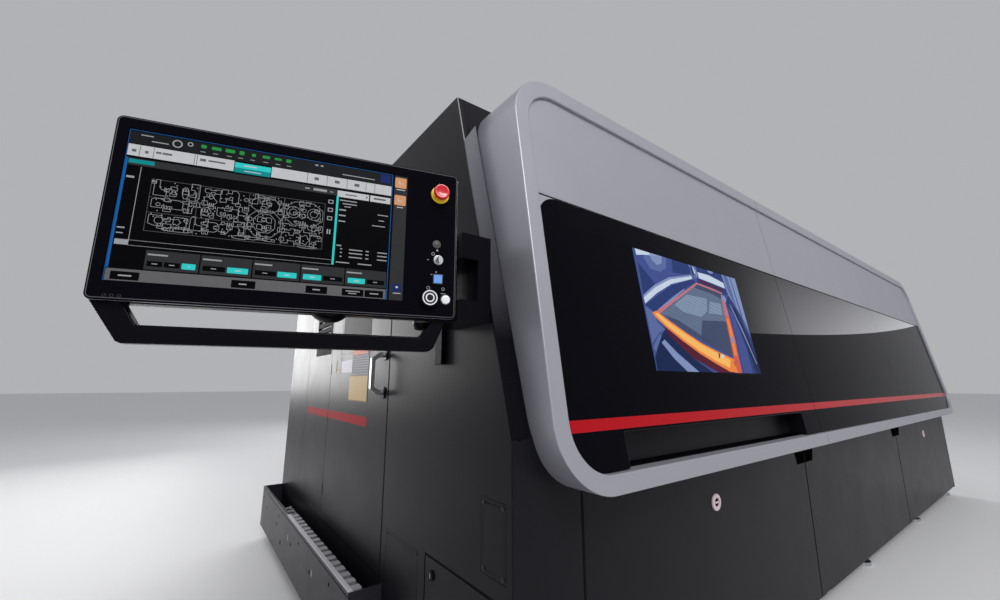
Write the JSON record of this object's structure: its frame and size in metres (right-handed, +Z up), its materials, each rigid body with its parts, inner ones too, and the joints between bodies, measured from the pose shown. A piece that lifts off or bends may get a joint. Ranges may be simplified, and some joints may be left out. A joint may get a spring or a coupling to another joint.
{
  "type": "fiber laser cutting machine",
  "caption": "Enclosed sheet-metal laser cutter: long cabinet with tilted glossy fascia, top-hung front door, gantry over a sliding pallet, and a swinging control console.",
  "frame": {"origin": "on the floor, at the underside of the levelling foot in the middle of the base", "axes": "+X along the front to the operator's right, +Y to the back, +Z up"},
  "size_m": [6.3776, 3.001, 2.125],
  "materials": {
    "frame_silver": "satin silver-grey paint",
    "body_charcoal": "satin charcoal paint",
    "inner_dark": "dark powder coat",
    "black_coat": "black gloss coat",
    "black_plastic": "gloss black",
    "black_glass": "gloss black safety glass",
    "display": "lit display",
    "zinc": "zinc-plated",
    "machine_paint": "grey machine paint",
    "ground_steel": "ground steel",
    "bare_aluminium": "smooth extruded",
    "cabinet_grey": "light grey paint",
    "copper_alloy": "turned copper alloy",
    "stop_red": "gloss red",
    "button_blue": "lit blue",
    "button_white": "gloss white"
  },
  "bodies": {
    "machine_body": {"base_frame": "body_charcoal", "levelling_feet": "zinc", "bed": "machine_paint", "x_rails": "ground_steel", "chamber_walls": "inner_dark", "left_wall": "body_charcoal", "left_rear_panel": "body_charcoal", "side_covers": "body_charcoal", "cover_screws": "zinc", "right_wall": "body_charcoal", "rear_wall": "body_charcoal", "roof_panels": "body_charcoal", "front_frame": "inner_dark", "fascia_frame": "frame_silver", "fascia_side_trims": "frame_silver", "upper_panel_left": "frame_silver", "upper_panel_mid": "frame_silver", "upper_panel_right": "frame_silver", "glass_mid": "black_glass", "glass_right": "black_glass", "side_tray": "body_charcoal", "side_cable_chain": "bare_aluminium", "hinges": "zinc", "laser_source": "cabinet_grey", "control_cabinet": "cabinet_grey", "service_plate": "zinc", "console_bracket": "black_coat", "scrap_bins": "cabinet_grey"},
    "front_door": {"front_door_glass": "black_glass", "front_door_frame": "inner_dark", "grip_tray": "inner_dark", "front_display": "display"},
    "side_door": {"side_door": "body_charcoal", "side_door_grip": "bare_aluminium"},
    "side_lock": {"side_door_lock": "black_plastic"},
    "side_hatch": {"side_hatch": "body_charcoal"},
    "hatch_lock": {"hatch_lock": "zinc"},
    "lower_left": {"lower_door_left": "body_charcoal"},
    "lower_mid": {"lower_door_mid": "body_charcoal"},
    "lower_right": {"lower_door_right": "body_charcoal"},
    "left_lock": {"door_lock_left": "zinc"},
    "right_lock": {"door_lock_right": "zinc"},
    "rear_door": {"rear_door": "body_charcoal"},
    "console_arm": {"console_arm": "inner_dark"},
    "console": {"console_housing": "black_coat", "console_bezel": "black_plastic", "console_screen": "display", "console_handle": "black_coat"},
    "stop_button": {"stop_button": "stop_red"},
    "start_button": {"start_button": "button_blue"},
    "reset_button": {"reset_button": "button_white"},
    "key_switch": {"key_switch": "zinc"},
    "feed_dial": {"feed_dial": "bare_aluminium"},
    "gantry": {"gantry_beam": "bare_aluminium", "gantry_runners": "machine_paint"},
    "carriage": {"head_carriage": "inner_dark"},
    "head": {"cutting_head": "bare_aluminium", "nozzle": "copper_alloy"},
    "pallet": {"pallet_frame": "machine_paint", "pallet_slats": "ground_steel"}
  },
  "joints": [
    {"name": "front_door_hinge", "type": "hinge", "parent": "machine_body", "child": "front_door", "pos_m": [-2.643, -1.37074, 1.64832], "axis": [-1, 0, 0], "range_deg": [0, 80]},
    {"name": "side_door_hinge", "type": "hinge", "parent": "machine_body", "child": "side_door", "pos_m": [-2.758, 0.298, 0], "axis": [0, 0, -1], "range_deg": [0, 100]},
    {"name": "side_lock_turn", "type": "hinge", "parent": "side_door", "child": "side_lock", "pos_m": [-2.763, -0.525, 1.226], "axis": [1, 0, 0], "range_deg": [0, 90]},
    {"name": "hatch_hinge", "type": "hinge", "parent": "machine_body", "child": "side_hatch", "pos_m": [-2.758, -1.312, 0], "axis": [0, 0, 1], "range_deg": [0, 100]},
    {"name": "hatch_lock_turn", "type": "hinge", "parent": "side_hatch", "child": "hatch_lock", "pos_m": [-2.763, -0.997, 0.495], "axis": [1, 0, 0], "range_deg": [0, 90]},
    {"name": "lower_left_hinge", "type": "hinge", "parent": "machine_body", "child": "lower_left", "pos_m": [-2.516, -1.398, 0.09], "axis": [1, 0, 0], "range_deg": [0, 90]},
    {"name": "lower_mid_hinge", "type": "hinge", "parent": "machine_body", "child": "lower_mid", "pos_m": [-0.9, -1.398, 0.09], "axis": [1, 0, 0], "range_deg": [0, 90]},
    {"name": "lower_right_hinge", "type": "hinge", "parent": "machine_body", "child": "lower_right", "pos_m": [0.9, -1.398, 0.09], "axis": [1, 0, 0], "range_deg": [0, 90]},
    {"name": "left_lock_turn", "type": "hinge", "parent": "lower_left", "child": "left_lock", "pos_m": [-1.798, -1.403, 0.642], "axis": [0, 1, 0], "range_deg": [0, 90]},
    {"name": "right_lock_turn", "type": "hinge", "parent": "lower_right", "child": "right_lock", "pos_m": [1.8, -1.403, 0.642], "axis": [0, 1, 0], "range_deg": [0, 90]},
    {"name": "rear_door_hinge", "type": "hinge", "parent": "machine_body", "child": "rear_door", "pos_m": [-0.695, 1.398, 0], "axis": [0, 0, 1], "range_deg": [0, 110]},
    {"name": "arm_swing", "type": "hinge", "parent": "machine_body", "child": "console_arm", "pos_m": [-2.863, -1.206, 1.417], "axis": [0, 0, 1], "range_deg": [-60, 20]},
    {"name": "console_swivel", "type": "hinge", "parent": "console_arm", "child": "console", "pos_m": [-3.185, -1.206, 1.417], "axis": [0, 0, 1], "range_deg": [-60, 12]},
    {"name": "stop_press", "type": "slide", "parent": "console", "child": "stop_button", "axis": [0.2554, 0.9668, 0], "range_m": [0, 0.006], "stiffness_N_per_m": 300},
    {"name": "start_press", "type": "slide", "parent": "console", "child": "start_button", "axis": [0.2554, 0.9668, 0], "range_m": [0, 0.004], "stiffness_N_per_m": 300},
    {"name": "reset_press", "type": "slide", "parent": "console", "child": "reset_button", "axis": [0.2554, 0.9668, 0], "range_m": [0, 0.004], "stiffness_N_per_m": 300},
    {"name": "key_turn", "type": "hinge", "parent": "console", "child": "key_switch", "pos_m": [-2.9823, -1.39402, 1.373], "axis": [0.2554, 0.9668, 0], "range_deg": [0, 90]},
    {"name": "dial_turn", "type": "hinge", "parent": "console", "child": "feed_dial", "pos_m": [-3.00164, -1.38891, 1.276], "axis": [0.2554, 0.9668, 0], "range_deg": [-135, 135]},
    {"name": "gantry_slide", "type": "slide", "parent": "machine_body", "child": "gantry", "axis": [1, 0, 0], "range_m": [0, 3.07]},
    {"name": "carriage_slide", "type": "slide", "parent": "gantry", "child": "carriage", "axis": [0, 1, 0], "range_m": [0, 1.4]},
    {"name": "head_slide", "type": "slide", "parent": "carriage", "child": "head", "axis": [0, 0, 1], "range_m": [-0.03, 0.06]},
    {"name": "pallet_slide", "type": "slide", "parent": "machine_body", "child": "pallet", "axis": [1, 0, 0], "range_m": [0, 2.4]}
  ]
}
